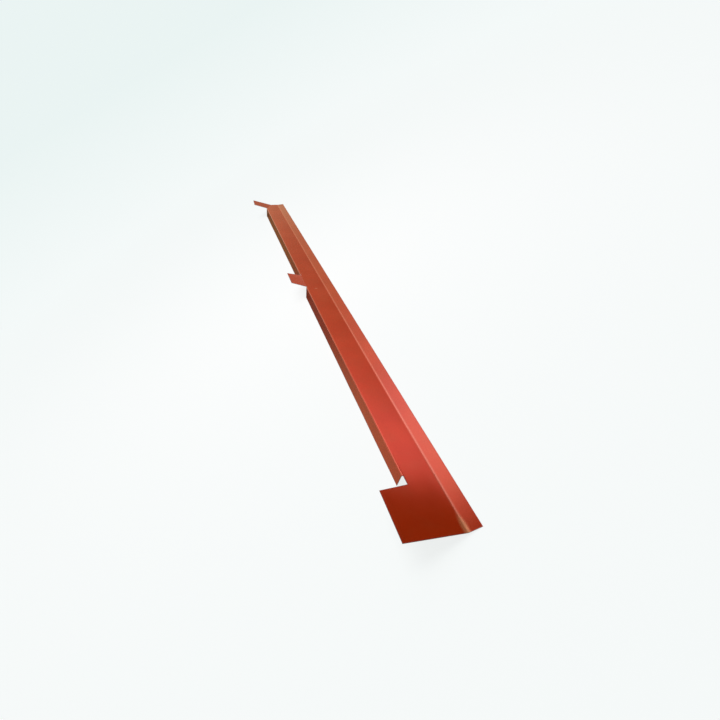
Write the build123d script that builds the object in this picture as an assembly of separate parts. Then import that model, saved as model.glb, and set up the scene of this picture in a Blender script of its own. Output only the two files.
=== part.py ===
from build123d import *
import os
from math import atan2, cos, degrees, hypot, radians, sin, tan

# Front edge flashing: one strip of coated sheet steel, folded along its length.
# A flat web runs the whole way. A narrow lip along one side is turned up.
# Along the other side a drip flange is turned straight down, in two lengths,
# and three tabs between and beyond them carry on from the web.
#
# The strip is drawn with the web level: X across it, Y along it from the near
# end, Z square to the web. X = 0 is the line where the planes of the web and
# the lip meet, and Z = 0 is the upper face of the web. At the end the strip is
# turned to the way it lies on a floor, on the flange edge and the lip edge.

# Driving dimensions, in millimetres and degrees.
strip_length = 2000.0
sheet = 0.6
web_width = 52.0
lip_width = 22.0
lip_angle = 20.5
lip_radius = 8.0
lip_snip = 24.0
flange_drop = 34.0
flange_radius = 1.8
near_tab_reach = 44.0
near_tab_root = 117.0
near_tab_taper = 5.0
near_notch_gap = 21.0
mid_tab_reach = 42.0
mid_tab_start = 994.0
mid_tab_root = 100.0
mid_tab_taper = 12.0
mid_tab_angle = 16.0
mid_tab_radius = 5.0
mid_slit_slant = 5.0
mid_notch_gap = 3.0
far_tab_reach = 51.0
far_tab_root = 59.0
far_tab_angle = 17.0
far_tab_radius = 5.0
far_slit_slant = 4.0
crease_inset = 25.0
flange_mitre = 19.0
slit_width = 0.8

# Sizes that follow from those.
fold_line = -web_width
web_edge = fold_line + flange_radius + sheet
near_tab_edge = fold_line - near_tab_reach
mid_tab_edge = fold_line - mid_tab_reach
far_tab_edge = fold_line - far_tab_reach
flange_heel = -(flange_radius + sheet)
mid_tab_end = mid_tab_start + mid_tab_root
far_tab_start = strip_length - far_tab_root


def bent_profile(reach, angle, radius):
    """Section of a strip that starts level at 0, 0 and turns up by angle."""
    turn = radians(angle)
    up = radius * sin(turn)
    top_turn = (up, radius - radius * cos(turn))
    straight = reach - radius * turn
    top_tip = (top_turn[0] + straight * cos(turn), top_turn[1] + straight * sin(turn))
    low_tip = (top_tip[0] + sheet * sin(turn), top_tip[1] - sheet * cos(turn))
    low_radius = radius + sheet
    low_turn = (low_radius * sin(turn), radius - low_radius * cos(turn))
    half = turn / 2
    top_mid = (radius * sin(half), radius - radius * cos(half))
    low_mid = (low_radius * sin(half), radius - low_radius * cos(half))
    with BuildLine() as outline:
        ThreePointArc((0, 0), top_mid, top_turn)
        Polyline(top_turn, top_tip, low_tip, low_turn)
        ThreePointArc(low_turn, low_mid, (0, -sheet))
        Line((0, -sheet), (0, 0))
    return make_face(outline.line)


def plan_plate(points, low, high):
    """A plate of the given plan outline between two heights."""
    outline = make_face(Polyline(*points, close=True))
    return Pos(0, 0, low) * extrude(outline, amount=high - low, dir=(0, 0, 1))


# Web: a flat plate up to the start of the bend of the lip. The corner beyond the
# diagonal crease at the far end is left out, because the far tab turns up there.
lip_start = -lip_radius * tan(radians(lip_angle) / 2)
crease_end = fold_line + crease_inset
web = plan_plate(
    [
        (web_edge, 0),
        (lip_start, 0),
        (lip_start, strip_length),
        (crease_end, strip_length),
        (web_edge, far_tab_start),
    ],
    -sheet,
    0,
)

# Lip: bent up over a soft radius, along the whole length, and snipped back on a
# slant at the far end.
lip_reach = lip_width + lip_start + lip_radius * radians(lip_angle)
lip_plane = Plane(origin=(lip_start, 0, 0), x_dir=(1, 0, 0), z_dir=(0, -1, 0))
lip_face = lip_plane * bent_profile(lip_reach, lip_angle, lip_radius)
lip_bar = extrude(lip_face, amount=strip_length, dir=(0, 1, 0))
lip_run = lip_width * cos(radians(lip_angle)) - lip_start + sheet
lip_keep = plan_plate(
    [
        (lip_start, 0),
        (lip_start + lip_run, 0),
        (lip_start + lip_run, strip_length - lip_snip),
        (lip_start, strip_length),
    ],
    -lip_width,
    lip_width,
)
lip = lip_bar & lip_keep


def flange(start, end, slant):
    """One length of drip flange: mitred at its near end, slanted at its far end."""
    with BuildLine() as outline:
        RadiusArc((web_edge, 0), (fold_line, flange_heel), -(flange_radius + sheet))
        Polyline(
            (fold_line, flange_heel),
            (fold_line, -flange_drop),
            (fold_line + sheet, -flange_drop),
            (fold_line + sheet, flange_heel),
        )
        RadiusArc((fold_line + sheet, flange_heel), (web_edge, -sheet), flange_radius)
        Line((web_edge, -sheet), (web_edge, 0))
    section = Plane(origin=(0, 0, 0), x_dir=(1, 0, 0), z_dir=(0, -1, 0)) * make_face(outline.line)
    bar = extrude(section, amount=end + slant - start, dir=(0, 1, 0))
    bar = Pos(0, start, 0) * bar
    side = Polyline(
        (start, sheet),
        (end, sheet),
        (end, 0),
        (end + slant, -flange_drop),
        (end + slant, -flange_drop - sheet),
        (start + flange_mitre, -flange_drop - sheet),
        (start + flange_mitre, -flange_drop),
        (start, flange_heel),
        close=True,
    )
    side_plane = Plane(origin=(fold_line - 1, 0, 0), x_dir=(0, 1, 0), z_dir=(1, 0, 0))
    keep = extrude(side_plane * make_face(side), amount=web_edge - fold_line + 1, dir=(1, 0, 0))
    return bar & keep


# The slit at the far end of a flange runs on at the slant it has along the tab.
near_slant = mid_slit_slant * flange_drop / mid_tab_reach
far_slant = far_slit_slant * flange_drop / far_tab_reach
near_flange = flange(near_tab_root + near_notch_gap, mid_tab_start, near_slant)
far_flange = flange(mid_tab_end + mid_notch_gap, far_tab_start, far_slant)

# Near tab: in the plane of the web.
near_tab = plan_plate(
    [
        (web_edge, 0),
        (web_edge, near_tab_root),
        (near_tab_edge, near_tab_root - near_tab_taper),
        (near_tab_edge, 0),
    ],
    -sheet,
    0,
)

# Mid tab: turned up about the fold, with both sides drawn in towards its edge.
mid_plane = Plane(origin=(web_edge, 0, 0), x_dir=(-1, 0, 0), z_dir=(0, 1, 0))
mid_face = mid_plane * bent_profile(web_edge - mid_tab_edge, mid_tab_angle, mid_tab_radius)
mid_bar = Pos(0, mid_tab_start, 0) * extrude(mid_face, amount=mid_tab_root, dir=(0, 1, 0))
mid_keep = plan_plate(
    [
        (web_edge, mid_tab_start + slit_width),
        (web_edge, mid_tab_end),
        (mid_tab_edge, mid_tab_end - mid_tab_taper),
        (mid_tab_edge, mid_tab_start + slit_width + mid_slit_slant),
    ],
    -mid_tab_reach,
    mid_tab_reach,
)
mid_tab = mid_bar & mid_keep

# Far tab: turned up about a diagonal crease, from the inner end of its slit to a
# point on the far end of the web.
crease_run = (crease_end - web_edge, far_tab_root)
crease_length = hypot(*crease_run)
along = (crease_run[0] / crease_length, crease_run[1] / crease_length)
aside = (-along[1], along[0])
crease_foot = (web_edge, far_tab_start)
crease_plane = Plane(
    origin=(crease_foot[0], crease_foot[1], 0),
    x_dir=(aside[0], aside[1], 0),
    z_dir=(along[0], along[1], 0),
)
flap_reach = 3 * (web_edge - far_tab_edge)
flap_face = crease_plane * bent_profile(flap_reach, far_tab_angle, far_tab_radius)
flap_bar = extrude(flap_face, amount=2 * crease_length, dir=(along[0], along[1], 0), both=True)


def turned_up(x, y):
    """Where a point of the flat far tab comes to, seen square to the web."""
    dx = x - crease_foot[0]
    dy = y - crease_foot[1]
    run = dx * along[0] + dy * along[1]
    off = dx * aside[0] + dy * aside[1]
    turn = radians(far_tab_angle)
    bend = far_tab_radius * turn
    off = far_tab_radius * sin(turn) + (off - bend) * cos(turn) if off > bend else off
    return (
        crease_foot[0] + run * along[0] + off * aside[0],
        crease_foot[1] + run * along[1] + off * aside[1],
    )


flap_keep = plan_plate(
    [
        turned_up(web_edge, far_tab_start),
        (crease_end, strip_length),
        turned_up(far_tab_edge, strip_length),
        turned_up(far_tab_edge, far_tab_start + far_slit_slant),
    ],
    -flap_reach,
    flap_reach,
)
far_tab = flap_bar & flap_keep

# One sheet.
strip = web + lip + near_flange + far_flange + near_tab + mid_tab + far_tab

# It lies on the edge of the flange and the edge of the lip.
lip_turn = radians(lip_angle)
lip_foot = (
    lip_width * cos(lip_turn) + sheet * sin(lip_turn),
    lip_width * sin(lip_turn) - sheet * cos(lip_turn),
)
flange_foot = (fold_line + sheet, -flange_drop)
rest_angle = degrees(atan2(lip_foot[1] - flange_foot[1], lip_foot[0] - flange_foot[0]))
strip = Rot(0, rest_angle, 0) * strip
box = strip.bounding_box()
middle = box.center()
strip = Pos(-middle.X, -middle.Y, -box.min.Z) * strip

os.makedirs("parts", exist_ok=True)
export_step(strip, "parts/flashing.step")
print("rest angle", round(rest_angle, 3), "solids", len(strip.solids()))
print("size", box.size, "volume", round(strip.volume, 1))
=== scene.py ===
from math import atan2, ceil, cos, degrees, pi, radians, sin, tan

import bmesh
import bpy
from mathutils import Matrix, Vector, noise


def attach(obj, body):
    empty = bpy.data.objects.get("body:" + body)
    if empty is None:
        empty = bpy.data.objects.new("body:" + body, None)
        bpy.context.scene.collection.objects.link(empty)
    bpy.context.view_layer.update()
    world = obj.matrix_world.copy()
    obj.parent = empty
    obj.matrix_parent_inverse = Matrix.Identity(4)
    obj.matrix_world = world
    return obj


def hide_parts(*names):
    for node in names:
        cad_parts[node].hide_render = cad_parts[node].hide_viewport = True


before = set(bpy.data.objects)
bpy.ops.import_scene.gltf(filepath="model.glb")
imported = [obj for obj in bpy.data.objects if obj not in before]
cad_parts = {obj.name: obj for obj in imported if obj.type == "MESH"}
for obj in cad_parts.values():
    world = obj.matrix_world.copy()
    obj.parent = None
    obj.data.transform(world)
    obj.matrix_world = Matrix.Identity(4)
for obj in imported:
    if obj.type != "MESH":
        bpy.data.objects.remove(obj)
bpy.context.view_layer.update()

# %% [markdown]
# # A front edge flashing
# The object is one strip of coated sheet steel, cut to an outline and folded along its length. It
# caps the front edge of a small roof. It could be made by thickening a bent profile, but notches,
# slits and a corner turned up along a slant are easier to get right the way a sheet metal worker
# does it: lay out a flat blank, fold every point of the blank into place, then give the sheet its
# thickness. The imported solid is loaded first.

scene = bpy.context.scene
scene.view_settings.view_transform = "Standard"

# %% [markdown]
# ## The sizes of the strip
# A folded sheet is described by a few widths, the angles of its folds and the radii of its bends.
# They are the solid's own sizes, so the two stay in step. The strip is laid out with its web level:
# X across, Y along from the near end, Z up. X = 0 is where the planes of the web and the lip meet.

# %% Sizes in millimetres and degrees
strip_length = 2000.0
sheet = 0.6
web_width = 52.0
lip_width = 22.0
lip_angle = 20.5
lip_radius = 8.0
lip_snip = 24.0
flange_drop = 34.0
flange_radius = 1.8
flange_mitre = 19.0
near_tab_reach = 44.0
near_tab_root = 117.0
near_tab_taper = 5.0
near_notch_gap = 21.0
mid_tab_reach = 42.0
mid_tab_start = 994.0
mid_tab_root = 100.0
mid_tab_taper = 12.0
mid_tab_angle = 16.0
mid_tab_radius = 5.0
mid_slit_slant = 5.0
mid_notch_gap = 3.0
far_tab_reach = 51.0
far_tab_root = 59.0
far_tab_angle = 17.0
far_tab_radius = 5.0
far_slit_slant = 4.0
crease_inset = 25.0
slit_width = 0.8

# %% Lines on the blank
heel = flange_radius + sheet
fold_line = -web_width
web_edge = fold_line + heel
lip_start = -lip_radius * tan(radians(lip_angle) / 2)
lip_arc = lip_radius * radians(lip_angle)
near_tab_edge = fold_line - near_tab_reach
mid_tab_edge = fold_line - mid_tab_reach
far_tab_edge = fold_line - far_tab_reach
mid_tab_end = mid_tab_start + mid_tab_root
far_tab_start = strip_length - far_tab_root
print("blank is about", lip_width + web_width + near_tab_reach, "mm wide at the near tab")

# %% [markdown]
# ## Folding a point
# Every fold is a short arc followed by a straight run. A point that lies some distance past the
# start of a bend goes round the arc as far as its distance allows, and carries straight on after
# that. One small function gives the run and the rise of such a point. Each part of the blank uses
# it in its own direction: the lip to the right, the flange downwards, the tabs to the left.

# %% The bend
def bend(distance, angle, radius):
    """Run and rise of a point that far past the start of a bend."""
    turn = radians(angle)
    if distance <= radius * turn:
        return radius * sin(distance / radius), radius - radius * cos(distance / radius)
    straight = distance - radius * turn
    run = radius * sin(turn) + straight * cos(turn)
    rise = radius - radius * cos(turn) + straight * sin(turn)
    return run, rise


wave_across = 70.0
wave_along = 190.0


def ripple(x, y, seed):
    """A slow unevenness between -1 and 1, the same for the same seed."""
    return noise.noise(Vector((x / wave_across, y / wave_along, seed)))


print("lip, 10 mm past its bend:", [round(c, 2) for c in bend(10.0, lip_angle, lip_radius)])

# %% [markdown]
# ## Where each part of the blank goes
# A real sheet is never quite flat between its folds. The web gets a bow of a fraction of a
# millimetre that dies out at the folds, and the free edges of the lip, the flange and the near tab
# wander a little, never past the box of the solid. This is real geometry and not bump, because the
# slow change of the reflections along the strip shows it.

# %% Fold maps, from a flat point to a folded one
web_bow = 0.22
lip_stray = 0.3
flange_stray = 0.45
tab_stray = 0.25


def fold_web(x, y):
    across = (x - web_edge) / (lip_start - web_edge)
    bow = web_bow * ripple(x, y, 3.0) * sin(pi * min(max(across, 0.0), 1.0))
    return Vector((x, y, bow))


def fold_lip(x, y):
    past = x - lip_start
    stray = lip_stray * abs(ripple(0.0, y, 7.0)) * (past / lip_width) ** 2
    run, rise = bend(past - stray, lip_angle, lip_radius)
    return Vector((lip_start + run, y, rise))


def fold_flange(x, y):
    past = web_edge - x
    stray = flange_stray * abs(ripple(0.0, y, 11.0)) * (past / flange_drop) ** 2
    run, drop = bend(past, 90.0, heel)
    return Vector((web_edge - run - stray, y, -drop))


def fold_near_tab(x, y):
    past = web_edge - x
    stray = tab_stray * abs(ripple(x, y, 15.0)) * past / near_tab_reach
    return Vector((x, y, stray))


def fold_mid_tab(x, y):
    run, rise = bend(web_edge - x, mid_tab_angle, mid_tab_radius)
    return Vector((web_edge - run, y, rise))


print("mid tab rises", round(fold_mid_tab(mid_tab_edge, mid_tab_start).z, 1), "mm")

# %% [markdown]
# ## The diagonal crease of the far tab
# At the far end the corner is turned up along a slanting line. It starts at the inner end of the
# slit and runs out on the end of the web. The same bend does it, with the distance measured square
# to that line instead of across the strip.

# %% The far corner's own fold map
crease_end = fold_line + crease_inset
crease = Vector((crease_end - web_edge, far_tab_root)).normalized()
aside = Vector((-crease.y, crease.x))


def fold_far_tab(x, y):
    arm = Vector((x - web_edge, y - far_tab_start))
    run, rise = bend(arm.dot(aside), far_tab_angle, far_tab_radius)
    foot = Vector((web_edge, far_tab_start)) + crease * arm.dot(crease) + aside * run
    return Vector((foot.x, foot.y, rise))


print("crease at", round(degrees(atan2(crease.y, crease.x)), 1), "degrees to the end")

# %% [markdown]
# ## Cutting the blank into patches
# The outline has notches, slits and slanted edges, and a regular grid can't follow those. So the
# blank is cut into four-sided patches. Each has a root line and an edge line with the same number
# of points, and columns of points in between. Two patches that share a line share its points, so
# they can be welded. Columns are close together round a bend, where the surface turns, and there is
# one close to every edge, so that flat faces stay flat when they are shaded smooth.

# %% Patches
rim = 1.8
weld = 0.02
strip = bmesh.new()
# A layer for the highlight painted along the bends.
highlight_layer = strip.verts.layers.float.new("fold_highlight_paint")
# A layer for how much darker the outline is painted.
outline_layer = strip.verts.layers.float.new("edge_darkening")


def along(start, end, step=14.0):
    """Places from start to end, with one close to each of them."""
    if end - start < 4 * rim:
        return [start, end]
    count = ceil((end - start) / step)
    inner = [start + (end - start) * i / count for i in range(1, count)]
    return [start, start + rim, *inner, end - rim, end]


def bend_columns(reach, arc, inside=8):
    """Shares of a reach: close together round the arc, wider after it."""
    first = [arc * i / inside for i in range(inside)]
    return [distance / reach for distance in first + along(arc, reach, 6.0)]


def patch(root, edge, columns, fold):
    """Quads between two lines of flat points, folded as they are made."""
    grid = []
    for (root_x, root_y), (edge_x, edge_y) in zip(root, edge):
        row = [fold(root_x + (edge_x - root_x) * c, root_y + (edge_y - root_y) * c) for c in columns]
        grid.append([strip.verts.new(point) for point in row])
    for low, high in zip(grid, grid[1:]):
        for i in range(len(columns) - 1):
            strip.faces.new((low[i], low[i + 1], high[i + 1], high[i]))


print("places along 100 mm:", len(along(0.0, 100.0)))

# %% [markdown]
# ## The web and the lip
# The rows of the web follow the cuts: near tab, notch, flange, slit, mid tab, notch, flange, far
# tab. In the last stretch its left side follows the crease. The lip runs beside it for the whole
# length, and its far corner was snipped back on a slant, so its edge falls behind there.

# %% Web and lip
near_flange_start = near_tab_root + near_notch_gap
mid_tab_inner = mid_tab_start + slit_width
far_flange_start = mid_tab_end + mid_notch_gap
stations = [0.0, near_tab_root, near_flange_start, mid_tab_start, mid_tab_inner]
stations += [mid_tab_end, far_flange_start, far_tab_start, strip_length]

web_columns = [(x - web_edge) / (lip_start - web_edge) for x in along(web_edge, lip_start, 5.0)]
lip_reach = lip_width + lip_start + lip_arc
lip_columns = bend_columns(lip_reach, lip_arc)


def crease_side(y):
    """The left side of the web: straight, then along the crease."""
    share = max(0.0, (y - far_tab_start) / far_tab_root)
    return (web_edge + (crease_end - web_edge) * share, y)


for start, end in zip(stations, stations[1:]):
    rows = along(start, end)
    left = [crease_side(y) for y in rows]
    right = [(lip_start, y) for y in rows]
    snips = [lip_snip * max(0.0, (y - far_tab_start) / far_tab_root) for y in rows]
    tip = [(lip_start + lip_reach, y - snip) for y, snip in zip(rows, snips)]
    patch(left, right, web_columns, fold_web)
    patch(right, tip, lip_columns, fold_lip)
print("web and lip:", len(strip.faces), "faces")

# %% [markdown]
# ## The flanges and the tabs
# These hang on the left side of the web. A flange is mitred at its near end, and its far end runs on
# at the slant of the slit. A tab narrows towards its edge. So the edge line of each is shorter or
# longer than its root, and one function stretches it to fit.

# %% Flanges
def side_patch(start, end, edge_x, edge_start, edge_end, columns, fold):
    """A patch from the side of the web out to an edge of another length."""
    rows = along(start, end)
    stretch = (edge_end - edge_start) / (end - start)
    root = [(web_edge, y) for y in rows]
    edge = [(edge_x, edge_start + (y - start) * stretch) for y in rows]
    patch(root, edge, columns, fold)


flange_arc = heel * pi / 2
flange_reach = flange_arc + flange_drop - heel
flange_columns = bend_columns(flange_reach, flange_arc)
near_slant = mid_slit_slant * flange_drop / mid_tab_reach
far_slant = far_slit_slant * flange_drop / far_tab_reach
lengths = ((near_flange_start, mid_tab_start, near_slant), (far_flange_start, far_tab_start, far_slant))
for start, end, slant in lengths:
    edge_x = web_edge - flange_reach
    side_patch(start, end, edge_x, start + flange_mitre, end + slant, flange_columns, fold_flange)
print("with the flanges:", len(strip.faces), "faces")

# %% Near tab and mid tab
near_columns = bend_columns(web_edge - near_tab_edge, 0.0, 0)
near_edge_end = near_tab_root - near_tab_taper
side_patch(0.0, near_tab_root, near_tab_edge, 0.0, near_edge_end, near_columns, fold_near_tab)

mid_arc = mid_tab_radius * radians(mid_tab_angle)
mid_columns = bend_columns(web_edge - mid_tab_edge, mid_arc, 4)
mid_edge = (mid_tab_inner + mid_slit_slant, mid_tab_end - mid_tab_taper)
side_patch(mid_tab_inner, mid_tab_end, mid_tab_edge, *mid_edge, mid_columns, fold_mid_tab)
print("with the two tabs:", len(strip.faces), "faces")

# %% Far tab, from the crease outwards
rows = along(far_tab_start, strip_length)
slit_end = far_tab_start + far_slit_slant
stretch = (strip_length - slit_end) / far_tab_root
root = [crease_side(y) for y in rows]
edge = [(far_tab_edge, slit_end + (y - far_tab_start) * stretch) for y in rows]
far_columns = bend_columns(crease_end - far_tab_edge, far_tab_radius * radians(far_tab_angle), 3)
patch(root, edge, far_columns, fold_far_tab)
bmesh.ops.remove_doubles(strip, verts=strip.verts, dist=weld)
print("blank:", len(strip.faces), "faces,", len(strip.verts), "points")

# %% [markdown]
# ## A painted highlight on the bends, and a darker outline
# A paler tone painted along each bend stands in for the highlight there, and the outline is painted
# darker. Noise can't know where the bends and the edges are, but the mesh does. So each point stores
# two numbers that the material reads later. One is the strength of the painted highlight: most along
# the lip's soft bend, and a little along the flange's tight one. The other is how much darker the
# outline is: full on the outline, gone one narrow rim further in, and faint along the lip.

# %% Marks stored on the points
# How wide and how strong the painted bend highlight is.
highlight_width = 0.75 * lip_arc
flange_highlight = 0.35
# How much darker the outline is painted along the lip's edge.
lip_darkening = 0.3
lip_edge = lip_width * cos(radians(lip_angle)) - rim / 2
heel_middle = Vector((fold_line + heel / 2, -heel / 2))
for point in strip.verts:
    x, y, z = point.co
    on_lip_bend = max(0.0, 1.0 - abs(x) / highlight_width)
    on_heel = max(0.0, 1.0 - (Vector((x, z)) - heel_middle).length / heel) if z < 0 else 0.0
    point[highlight_layer] = max(on_lip_bend, flange_highlight * on_heel)
    point[outline_layer] = (lip_darkening if x > lip_edge else 1.0) if point.is_boundary else 0.0
print("points on the outline:", sum(point.is_boundary for point in strip.verts))

# %% [markdown]
# ## Giving the sheet its thickness
# The patches are the painted face. A second layer lies one sheet thickness below it, along each
# point's normal, and a narrow rim closes the two along every cut edge. A Solidify modifier would do
# the same, but done here point by point the three get their own materials: the coated face, the
# plain backing coat, and the cut edge.

# %% Backing layer and rim
bmesh.ops.recalc_face_normals(strip, faces=strip.faces)
strip.normal_update()
if sum(face.normal.z for face in strip.faces) < 0:
    bmesh.ops.reverse_faces(strip, faces=strip.faces)
    strip.normal_update()
front = list(strip.faces)
outline = [edge.link_loops[0] for edge in strip.edges if edge.is_boundary]
back_of = {point: strip.verts.new(point.co - point.normal * sheet) for point in list(strip.verts)}
for face in front:
    made = strip.faces.new([back_of[point] for point in reversed(face.verts)])
    made.material_index = 1
for loop in outline:
    here = loop.vert
    there = loop.link_loop_next.vert
    made = strip.faces.new((there, here, back_of[here], back_of[there]))
    made.material_index = 2
print("sheet:", len(strip.faces), "faces, cut edges:", len(outline))

# %% [markdown]
# ## Laying it on the floor
# Unheld, the strip lies on the free edge of the flange and the free edge of the lip. The line
# through those two edges gives the angle to turn it by. The turned strip is then centred over the
# origin and dropped to the floor, which is how the solid is stored.

# %% Turn and place
millimetre = 0.001
lip_turn = radians(lip_angle)
lip_tip = Vector((lip_width * cos(lip_turn), 0, lip_width * sin(lip_turn)))
lip_foot = lip_tip + sheet * Vector((sin(lip_turn), 0, -cos(lip_turn)))
flange_foot = Vector((fold_line + sheet, 0, -flange_drop))
between_feet = lip_foot - flange_foot
rest_angle = atan2(between_feet.z, between_feet.x)
turn = Matrix.Rotation(rest_angle, 4, "Y")
tab_corner = turn @ Vector((near_tab_edge, 0, -sheet))
lip_corner = turn @ lip_tip
middle_x = (tab_corner.x + lip_corner.x) / 2
shift = Vector((-middle_x, -strip_length / 2, -(turn @ flange_foot).z))
place = Matrix.Scale(millimetre, 4) @ Matrix.Translation(shift) @ turn
strip.transform(place)
print("turned by", round(degrees(rest_angle), 2), "degrees")

# %% The object
sharp_angle = 40.0
mesh = bpy.data.meshes.new("flashing_sheet")
strip.to_mesh(mesh)
strip.free()
mesh.shade_smooth()
mesh.set_sharp_from_angle(angle=radians(sharp_angle))
flashing = bpy.data.objects.new("flashing_sheet", mesh)
scene.collection.objects.link(flashing)
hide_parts("flashing")
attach(flashing, "root")
print(flashing.name, [round(size, 4) for size in flashing.dimensions])

# %% [markdown]
# ## Writing materials as sums
# A material is a graph of nodes, but most of it is arithmetic. A small class wraps a socket, so a
# sum in Python adds the Math nodes that it needs. Any other node comes from one method, which takes
# its type, its settings, and the values or links of its sockets.

# %% Shader helper: a socket that can be used in a sum
class Wire:
    def __init__(self, paint, socket):
        self.paint = paint
        self.socket = socket

    def math(self, operation, first, second):
        return self.paint.node("ShaderNodeMath", {"operation": operation}, {0: first, 1: second})

    def __add__(self, other):
        return self.math("ADD", self, other)

    def __radd__(self, other):
        return self.math("ADD", other, self)

    def __sub__(self, other):
        return self.math("SUBTRACT", self, other)

    def __rsub__(self, other):
        return self.math("SUBTRACT", other, self)

    def __mul__(self, other):
        return self.math("MULTIPLY", self, other)

    def __truediv__(self, other):
        return self.math("DIVIDE", self, other)

    def __rtruediv__(self, other):
        return self.math("DIVIDE", other, self)


# %% Shader helper: a material, or the world, built node by node
class Paint:
    def __init__(self, owner):
        owner.use_nodes = True
        self.name = owner.name
        self.tree = owner.node_tree
        self.tree.nodes.clear()

    def node(self, kind, settings, sockets, output=0):
        """Any node: its type, its settings, then the values or links of its sockets."""
        made = self.tree.nodes.new(kind)
        for name, value in settings.items():
            setattr(made, name, value)
        for name, value in sockets.items():
            if isinstance(value, Wire):
                self.tree.links.new(value.socket, made.inputs[name])
            else:
                made.inputs[name].default_value = value
        return Wire(self, made.outputs[output]) if made.outputs else made

    def where(self):
        """Where a point lies on its object."""
        return self.node("ShaderNodeTexCoord", {}, {}, 3)

    def noise(self, where, scale, detail):
        """A cloudy value about 0.5."""
        return self.node("ShaderNodeTexNoise", {}, {"Vector": where, "Scale": scale, "Detail": detail})

    def stored(self, name):
        """A number that the mesh stores on its points."""
        return self.node("ShaderNodeAttribute", {"attribute_name": name}, {}, 2)

    def vector(self, operation, sockets, output=0):
        return self.node("ShaderNodeVectorMath", {"operation": operation}, sockets, output)

    def mix(self, factor, a, b, blend="MIX"):
        """A colour between two colours, or the first one tinted by the second."""
        settings = {"data_type": "RGBA", "blend_type": blend}
        return self.node("ShaderNodeMix", settings, {0: factor, 6: a, 7: b}, 2)

    def spread(self, value, low, high):
        """0 below low, 1 above high, smooth in between."""
        settings = {"interpolation_type": "SMOOTHSTEP"}
        return self.node("ShaderNodeMapRange", settings, {0: value, 1: low, 2: high})

    def background_rays(self):
        """1 on rays from the camera, also by way of gloss or glass, and 0 on the others."""
        kinds = ("Is Camera Ray", "Is Glossy Ray", "Is Transmission Ray")
        camera, gloss, glass = [self.node("ShaderNodeLightPath", {}, {}, kind) for kind in kinds]
        return camera + gloss + glass

    def finish(self, shader, kind="ShaderNodeOutputMaterial"):
        """The output, with a note of how many nodes it took."""
        self.node(kind, {}, {"Surface": shader})
        print(self.name, "has", len(self.tree.nodes), "nodes")


# %% [markdown]
# ## The coated face
# Coil-coated steel has a thin, hard, brick red skin with a half gloss. It is dark where nothing
# bright is mirrored in it and pale red where something is, because the skin tints what it mirrors.
# A plain paint shader mirrors things without a tint, so this one is half metallic, with a strong base
# colour. On top comes what rolling and handling leave: a cloudy change of tone, faint lines along
# the strip, a little dust, one small scuff on the web and a tan spot where the near end of the bend
# has been knocked. A paler tone painted along the bends stands in for their highlight, and the
# outline is painted darker.

# %% Tone of the coat
brick = (0.54, 0.038, 0.004, 1)
light_brick = (0.60, 0.047, 0.006, 1)
blotch_tone = (0.50, 0.058, 0.012, 1)
streak_tone = (0.42, 0.032, 0.008, 1)
dust_tone = (0.52, 0.11, 0.04, 1)
coat_material = bpy.data.materials.new("coated_steel_face")
coat = Paint(coat_material)
spot = coat.where()
cloud = coat.noise(spot, 9.0, 4.0)
speck = coat.noise(spot, 260.0, 2.0)
rolled = coat.node("ShaderNodeMapping", {}, {"Vector": spot, "Scale": (1.0, 0.02, 1.0)})
streak = coat.noise(rolled, 420.0, 3.0)
blotch = coat.spread(coat.noise(spot, 32.0, 3.0), 0.42, 0.68)
dust = coat.spread(cloud, 0.5, 0.75) * 0.06 + coat.spread(speck, 0.62, 0.8) * 0.05
tone = coat.mix(coat.spread(cloud, 0.3, 0.7), brick, light_brick)
tone = coat.mix(blotch * 0.3, tone, blotch_tone)
tone = coat.mix(streak * 0.12, tone, streak_tone)
tone = coat.mix(dust, tone, dust_tone)
print("tone of the coat:", len(coat.tree.nodes), "nodes")

# %% Painted bend highlight, darker outline, scuff and knocked corner
# A paler tone that paints the highlight along the bends.
highlight_tone = (0.66, 0.21, 0.13, 1)
# A dark tone that the outline is painted with.
outline_dark_tone = (0.10, 0.025, 0.020, 1)
scuff_tone = (0.75, 0.28, 0.18, 1)
knock_tone = (0.30, 0.15, 0.05, 1)
bend_highlight = coat.stored("fold_highlight_paint")
outline_dark = coat.stored("edge_darkening")


def mark(middle, size):
    """1 in the middle of a mark on the coat and 0 outside it; its outline is a little ragged."""
    offset = coat.vector("SUBTRACT", {0: spot, 1: place @ Vector(middle)})
    offset = coat.vector("DIVIDE", {0: offset, 1: millimetre * Vector(size)})
    return 1 - coat.spread(coat.vector("LENGTH", {0: offset}, 1) + cloud * 0.4, 0.5, 1.2)


# Across, along and up, in millimetres on the level strip.
scuff_middle = (-27.7, 978.0, 0.0)
scuff_size = (6.0, 4.0, 6.0)
knock_middle = (-1.0, 10.0, 0.0)
knock_size = (7.0, 40.0, 7.0)
scuff = mark(scuff_middle, scuff_size)
knock = mark(knock_middle, knock_size)
# The painted highlight along the bends.
tone = coat.mix(bend_highlight * 0.8, tone, highlight_tone)
# The outline painted darker.
tone = coat.mix(outline_dark * 0.85, tone, outline_dark_tone)
tone = coat.mix(scuff * 0.6, tone, scuff_tone)
tone = coat.mix(knock * 0.6, tone, knock_tone)
print("with its marks:", len(coat.tree.nodes), "nodes")

# %% Gloss of the coat
gloss = 0.085 + cloud * 0.03 + streak * 0.02 + dust * 0.6
gloss = gloss + bend_highlight * 0.1 + outline_dark * 0.3 + knock * 0.2
grain = coat.noise(spot, 900.0, 1.0)
skin = coat.node("ShaderNodeBump", {}, {"Strength": 0.05, "Distance": 0.0002, "Height": grain})
sockets = {"Base Color": tone, "Roughness": gloss, "Metallic": 0.5, "Normal": skin}
coat.finish(coat.node("ShaderNodeBsdfPrincipled", {}, sockets))
mesh.materials.append(coat_material)

# %% [markdown]
# ## The backing coat and the cut edge
# The underside of such sheet has a thin, dull, light grey backing coat. A cut edge shows the steel
# and the zinc, dulled by weather. Both stay plain, because they are hidden or less than a millimetre
# wide.

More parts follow.
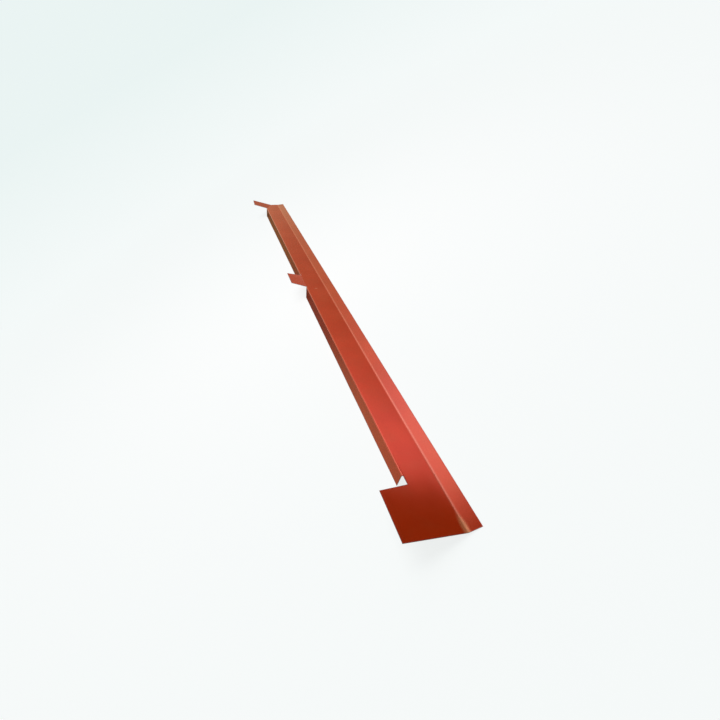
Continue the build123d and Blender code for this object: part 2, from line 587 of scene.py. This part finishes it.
# %% Backing coat
backing_grey = (0.50, 0.49, 0.46, 1)
light_grey = (0.57, 0.56, 0.53, 1)
back_material = bpy.data.materials.new("backing_coat")
back = Paint(back_material)
cloud = back.noise(back.where(), 14.0, 4.0)
tone = back.mix(back.spread(cloud, 0.3, 0.7), backing_grey, light_grey)
back.finish(back.node("ShaderNodeBsdfPrincipled", {}, {"Base Color": tone, "Roughness": 0.5}))
mesh.materials.append(back_material)

# %% Cut edge
weathered_steel = (0.10, 0.06, 0.045, 1)
bare_steel = (0.22, 0.15, 0.12, 1)
cut_material = bpy.data.materials.new("cut_edge")
cut = Paint(cut_material)
grain = cut.noise(cut.where(), 300.0, 3.0)
tone = cut.mix(grain, weathered_steel, bare_steel)
sockets = {"Base Color": tone, "Roughness": 0.45, "Metallic": 0.6}
cut.finish(cut.node("ShaderNodeBsdfPrincipled", {}, sockets))
mesh.materials.append(cut_material)

# %% [markdown]
# ## The floor and the background
# The floor is one wide plane. To a camera ray it is mostly its own pale colour, and near the strip a
# part of it is a lit surface, so that it keeps the strip's shadow. Seen at a slant, distances shrink
# towards the horizon, so the tone follows one over the distance: then it changes evenly across the
# picture and meets the world without a line. A glossy thing should mirror the same pale room, so
# gloss finds it too. To every other ray the floor is a duller, warmer surface and the world is dim, so
# that the lamp sets the level of the light and the flange keeps its shade.

# %% Floor as the camera sees it
pale = (0.825, 0.905, 0.895, 1)
white = (1.0, 1.0, 1.0, 1)
lit_tone = (0.93, 0.97, 0.97, 1)
fade = 2.0
bpy.ops.mesh.primitive_plane_add(size=400.0)
floor = bpy.context.object
floor.name = "floor"
floor_material = bpy.data.materials.new("pale_floor")
ground = Paint(floor_material)
spot = ground.where()
away = ground.vector("LENGTH", {0: spot}, 1)
tone = ground.mix(fade / (fade + away), pale, white)
plain = ground.node("ShaderNodeEmission", {}, {"Color": tone, "Strength": 1.0})
lit = ground.node("ShaderNodeBsdfDiffuse", {}, {"Color": lit_tone})
plain_share = 0.85 + ground.spread(away, 0.6, 2.4) * 0.15
shown = ground.node("ShaderNodeMixShader", {}, {0: plain_share, 1: lit, 2: plain})
print("floor", floor.dimensions.x, "m wide")

# %% Floor as the other rays find it
dull_tone = (0.50, 0.42, 0.36, 1)
dull = ground.node("ShaderNodeBsdfDiffuse", {}, {"Color": dull_tone})
found = ground.background_rays()
ground.finish(ground.node("ShaderNodeMixShader", {}, {0: found, 1: dull, 2: shown}))
floor.data.materials.append(floor_material)

# %% World
warm_white = (1.0, 0.92, 0.82, 1)
scene.world = bpy.data.worlds.new("studio")
room = Paint(scene.world)
dim = room.node("ShaderNodeBackground", {}, {"Color": warm_white, "Strength": 0.12})
sky = room.node("ShaderNodeBackground", {}, {"Color": pale, "Strength": 1.0})
seen = room.node("ShaderNodeMixShader", {}, {0: room.background_rays(), 1: dim, 2: sky})
room.finish(seen, "ShaderNodeOutputWorld")

# %% [markdown]
# ## The soft lamp and the far card
# A large soft lamp hangs above the strip and lights it evenly. A lamp alone leaves a glossy sheet
# flat, so a wide card stands far beyond the far end, square to the strip, for the coat to mirror.
# The camera doesn't see it. It stands that far off so that every part of the strip looks at it in
# nearly the same direction, and it is turned with the strip, so that its sides are the strip's.

# %% Lamp
lamp = bpy.data.lights.new("softbox", "AREA")
lamp.shape = "DISK"
lamp.size = 3.0
lamp.energy = 92.0
softbox = bpy.data.objects.new("softbox", lamp)
softbox.location = (0, 0, 3.2)
scene.collection.objects.link(softbox)
print("lamp", lamp.size, "m wide,", softbox.location.z, "m up")

# %% Far card
card_away = 40.0
half_side = 60.0
corners = ((-half_side, 0), (half_side, 0), (half_side, half_side), (-half_side, half_side))
board = bpy.data.meshes.new("far_card")
board.from_pydata([(x, card_away, z) for x, z in corners], [], [(0, 1, 2, 3)])
card = bpy.data.objects.new("far_card", board)
card.matrix_world = turn
card.visible_camera = False
card.visible_shadow = False
scene.collection.objects.link(card)
print("far card", 2 * half_side, "m wide,", card_away, "m away")

# %% [markdown]
# ## What the card shows
# Moving along the strip, a flat part of it mirrors points of the card that lie on one slanted line,
# from the foot of the card up. The far part mirrors the dim, warm foot and the nearer part the bright
# part above it. Past a slanted top edge the card is black, and there the near end looks, which is why
# it is dark. How far the line leans, across over height, tells the parts of the strip apart: the lip,
# the bend beside it, the web, and the tabs that are bent up. So the card can be brighter where the
# lip and the bend look, and can have a tone of its own where each of the bent tabs looks.

# %% Height and lean of a point on the card
card_material = bpy.data.materials.new("far_card_glow")
glow = Paint(card_material)
spot = glow.where()
across = glow.node("ShaderNodeSeparateXYZ", {}, {0: spot}, 0) / card_away
height = glow.node("ShaderNodeSeparateXYZ", {}, {0: spot}, 2) / card_away
lean = across / height
lip_part = 1 - glow.spread(lean, -0.12, 0.02)
bend_part = glow.spread(lean, 0.06, 0.14) * (1 - glow.spread(lean, 0.17, 0.25))
off_web = 1 - glow.spread(lean, 0.22, 0.34)
far_tab_part = glow.spread(lean, 0.57, 0.70)
mid_tab_part = glow.spread(lean, 0.9, 1.3)
print("parts of the card:", len(glow.tree.nodes), "nodes")

# %% Tone of the card, from its foot to its top
lip_tint = (0.74, 1.26, 1.32, 1)
far_tab_tone = (0.37, 0.28, 0.17, 1)
mid_tab_tone = (0.43, 0.20, 0.12, 1)
foot_tone = (0.37, 0.26, 0.15, 1)
# Where each change of tone starts and ends, as height over distance, and what it comes to.
steps = (
    (0.20, 0.30, (0.27, 0.15, 0.085, 1)),
    (0.30, 0.45, (0.31, 0.175, 0.105, 1)),
    (0.45, 0.60, (0.52, 0.30, 0.25, 1)),
    (0.60, 0.75, (0.80, 0.55, 0.63, 1)),
    (0.75, 0.86, (0.88, 0.68, 0.77, 1)),
)
tone = foot_tone
for low, high, next_tone in steps:
    share = glow.node("ShaderNodeMapRange", {}, {0: height, 1: low, 2: high})
    tone = glow.mix(share, tone, next_tone)
tone = glow.mix(lip_part, tone, lip_tint, "MULTIPLY")
tone = glow.mix(far_tab_part, tone, far_tab_tone)
tone = glow.mix(mid_tab_part, tone, mid_tab_tone)
print("tone of the card:", len(steps) + 1, "levels")

# %% Strength of the card and its top edge
plain_gain = 1.18
web_loss = 0.36
lip_gain = 0.35
gain = plain_gain - glow.spread(lean, 0.44, 0.57) * web_loss + lip_part * lip_gain + bend_part
web_top = 0.676 + across * 0.44
lip_top = 1.07
top = web_top + (lip_top - web_top) * off_web
softness = 0.03 + off_web * 0.14
gain = gain * (1 - glow.spread((height - top) / softness, -1.0, 1.0))
tone = glow.vector("SCALE", {0: tone, "Scale": gain})
glow.finish(glow.node("ShaderNodeEmission", {}, {"Color": tone, "Strength": 1.75}))
board.materials.append(card_material)

# %% [markdown]
# ## The dark card on the floor
# The flange looks down at the floor beside the strip, and a pale floor would wash its red out. A
# photographer lays a dark card there. This one is found by gloss alone, so it neither shows in the
# picture nor hides the strip's shadow. It is lighter towards the near end, as the flange is. It ends
# under the web, or it would cover the edge of the lip that rests on the floor.

# %% Dark card
felt_side = 12.0
felt_lift = 0.001
near_felt = (0.48, 0.28, 0.16, 1)
middle_felt = (0.15, 0.085, 0.06, 1)
far_felt = (0.17, 0.14, 0.06, 1)
bpy.ops.mesh.primitive_plane_add(size=felt_side, location=(-felt_side / 2, 0, felt_lift))
dark_card = bpy.context.object
dark_card.name = "dark_card"
dark_card.visible_camera = False
dark_card.visible_diffuse = False
dark_card.visible_transmission = False
dark_card.visible_shadow = False
dark_material = bpy.data.materials.new("dark_card_felt")
felt = Paint(dark_material)
length = felt.node("ShaderNodeSeparateXYZ", {}, {0: felt.where()}, 1)
tone = felt.mix(felt.spread(length, -0.75, -0.15), near_felt, middle_felt)
tone = felt.mix(felt.spread(length, 0.0, 0.5), tone, far_felt)
felt.finish(felt.node("ShaderNodeBsdfDiffuse", {}, {"Color": tone}))
dark_card.data.materials.append(dark_material)

# %% [markdown]
# ## The camera
# The picture looks along the strip from its near end, from above and a little from the left. The
# place, the aim and the lens were found by fitting the solid's corners to the picture. The web was
# level in it and is not on the floor, so the camera is rolled by as much as the strip is turned.

# %% Camera
eye = Vector((0.03959, -1.56165, 0.66887))
forward = Vector((-0.018115, 0.857572, -0.514045)).normalized()
right = Vector((0.858157, -0.250490, -0.448131)).normalized()
up = right.cross(forward).normalized()
lens = bpy.data.cameras.new("photo_camera")
lens.sensor_width = 36.0
lens.lens = 29.855
lens.clip_end = 500.0
camera = bpy.data.objects.new("photo_camera", lens)
camera.matrix_world = Matrix((right, up, -forward)).transposed().to_4x4()
camera.location = eye
scene.collection.objects.link(camera)
scene.camera = camera
print("camera looks", round(degrees(-atan2(forward.z, forward.y)), 1), "degrees down")
